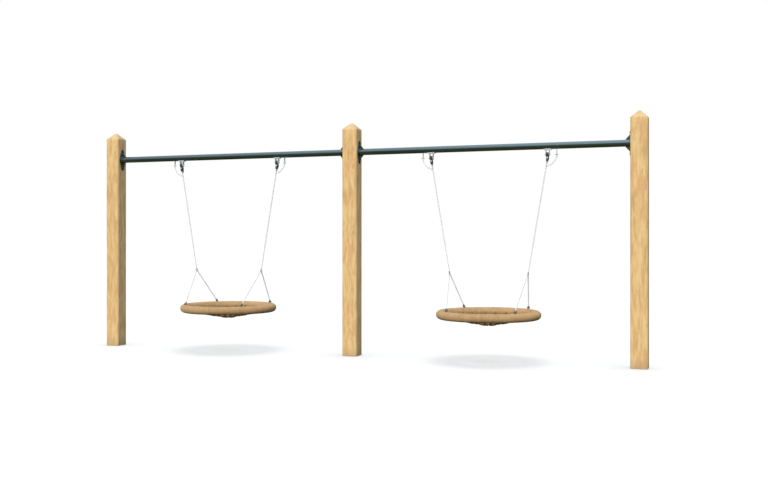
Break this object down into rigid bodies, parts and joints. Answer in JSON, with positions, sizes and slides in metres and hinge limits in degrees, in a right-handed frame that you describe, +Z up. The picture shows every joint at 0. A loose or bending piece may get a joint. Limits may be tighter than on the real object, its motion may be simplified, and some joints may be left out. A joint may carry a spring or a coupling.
{
  "type": "nest swing set",
  "caption": "Playground swing set: square timber posts carry round steel beams, each with a rope-wound nest basket hung on chains from pivoting hangers.",
  "frame": {"origin": "on the ground under the centre of the middle post", "axes": "+X along the beams, +Y the way the baskets swing, +Z up"},
  "size_m": [6.905, 1.2, 2.8],
  "materials": {
    "timber": "satin",
    "beam_paint": "satin",
    "zinc": "satin",
    "dark_steel": "satin",
    "bearing_green": "satin",
    "grey_casting": "satin",
    "rope": "matte"
  },
  "bodies": {
    "root": {"post_left": "timber", "post_middle": "timber", "post_right": "timber", "beam_left": "beam_paint", "beam_right": "beam_paint", "bolt_left_lower": "dark_steel", "bolt_left_upper": "dark_steel", "bolt_middle_lower": "dark_steel", "bolt_middle_upper": "dark_steel", "bolt_right_lower": "dark_steel", "bolt_right_upper": "dark_steel", "left_seat_bracket_left": "zinc", "left_seat_bracket_right": "zinc", "left_seat_swing_pin_left": "zinc", "left_seat_swing_pin_right": "zinc", "right_seat_bracket_left": "zinc", "right_seat_bracket_right": "zinc", "right_seat_swing_pin_left": "zinc", "right_seat_swing_pin_right": "zinc"},
    "left_seat_carriage": {"left_seat_bearing_block_left": "bearing_green", "left_seat_bearing_block_right": "bearing_green", "left_seat_safety_chain_left": "zinc", "left_seat_safety_chain_right": "zinc"},
    "left_seat_hanger_left": {"left_seat_yoke_pin_left": "zinc", "left_seat_yoke_left": "grey_casting", "left_seat_upper_chain_left": "zinc"},
    "left_seat_hanger_right": {"left_seat_yoke_pin_right": "zinc", "left_seat_yoke_right": "grey_casting", "left_seat_upper_chain_right": "zinc"},
    "left_seat_junction": {"left_seat_junction_ring_left": "zinc"},
    "left_seat_basket": {"left_seat_junction_ring_right": "zinc", "left_seat_lower_chain_front_left": "zinc", "left_seat_lower_chain_back_left": "zinc", "left_seat_lower_chain_front_right": "zinc", "left_seat_lower_chain_back_right": "zinc", "left_seat_rim_core": "zinc", "left_seat_rim_winding": "rope", "left_seat_net": "rope", "left_seat_net_centre_ring": "dark_steel"},
    "right_seat_carriage": {"right_seat_bearing_block_left": "bearing_green", "right_seat_bearing_block_right": "bearing_green", "right_seat_safety_chain_left": "zinc", "right_seat_safety_chain_right": "zinc"},
    "right_seat_hanger_left": {"right_seat_yoke_pin_left": "zinc", "right_seat_yoke_left": "grey_casting", "right_seat_upper_chain_left": "zinc"},
    "right_seat_hanger_right": {"right_seat_yoke_pin_right": "zinc", "right_seat_yoke_right": "grey_casting", "right_seat_upper_chain_right": "zinc"},
    "right_seat_junction": {"right_seat_junction_ring_left": "zinc"},
    "right_seat_basket": {"right_seat_junction_ring_right": "zinc", "right_seat_lower_chain_front_left": "zinc", "right_seat_lower_chain_back_left": "zinc", "right_seat_lower_chain_front_right": "zinc", "right_seat_lower_chain_back_right": "zinc", "right_seat_rim_core": "zinc", "right_seat_rim_winding": "rope", "right_seat_net": "rope", "right_seat_net_centre_ring": "dark_steel"}
  },
  "joints": [
    {"name": "left_seat_swing", "type": "hinge", "parent": "root", "child": "left_seat_carriage", "pos_m": [-1.68, 0, 2.355], "axis": [1, 0, 0], "range_deg": [-60, 60]},
    {"name": "left_seat_sway_left", "type": "hinge", "parent": "left_seat_carriage", "child": "left_seat_hanger_left", "pos_m": [-2.36, 0, 2.315], "axis": [0, -1, 0], "range_deg": [-6, 6]},
    {"name": "left_seat_sway_right", "type": "hinge", "parent": "left_seat_carriage", "child": "left_seat_hanger_right", "pos_m": [-1, 0, 2.315], "axis": [0, -1, 0], "range_deg": [-6, 6]},
    {"name": "left_seat_tilt", "type": "hinge", "parent": "left_seat_hanger_left", "child": "left_seat_junction", "pos_m": [-2.14, 0, 1.01], "axis": [0, -1, 0], "range_deg": [-9, 9]},
    {"name": "left_seat_rock", "type": "hinge", "parent": "left_seat_junction", "child": "left_seat_basket", "pos_m": [-1.68, 0, 1.01], "axis": [1, 0, 0], "range_deg": [-20, 20]},
    {"name": "right_seat_swing", "type": "hinge", "parent": "root", "child": "right_seat_carriage", "pos_m": [1.68, 0, 2.355], "axis": [1, 0, 0], "range_deg": [-60, 60]},
    {"name": "right_seat_sway_left", "type": "hinge", "parent": "right_seat_carriage", "child": "right_seat_hanger_left", "pos_m": [1, 0, 2.315], "axis": [0, -1, 0], "range_deg": [-6, 6]},
    {"name": "right_seat_sway_right", "type": "hinge", "parent": "right_seat_carriage", "child": "right_seat_hanger_right", "pos_m": [2.36, 0, 2.315], "axis": [0, -1, 0], "range_deg": [-6, 6]},
    {"name": "right_seat_tilt", "type": "hinge", "parent": "right_seat_hanger_left", "child": "right_seat_junction", "pos_m": [1.22, 0, 1.01], "axis": [0, -1, 0], "range_deg": [-9, 9]},
    {"name": "right_seat_rock", "type": "hinge", "parent": "right_seat_junction", "child": "right_seat_basket", "pos_m": [1.68, 0, 1.01], "axis": [1, 0, 0], "range_deg": [-20, 20]}
  ],
  "couplings": [
    {"joint": "left_seat_sway_right", "follows": "left_seat_sway_left", "ratio": 1},
    {"joint": "left_seat_tilt", "follows": "left_seat_sway_left", "ratio": -1.4783},
    {"joint": "right_seat_sway_right", "follows": "right_seat_sway_left", "ratio": 1},
    {"joint": "right_seat_tilt", "follows": "right_seat_sway_left", "ratio": -1.4783}
  ]
}
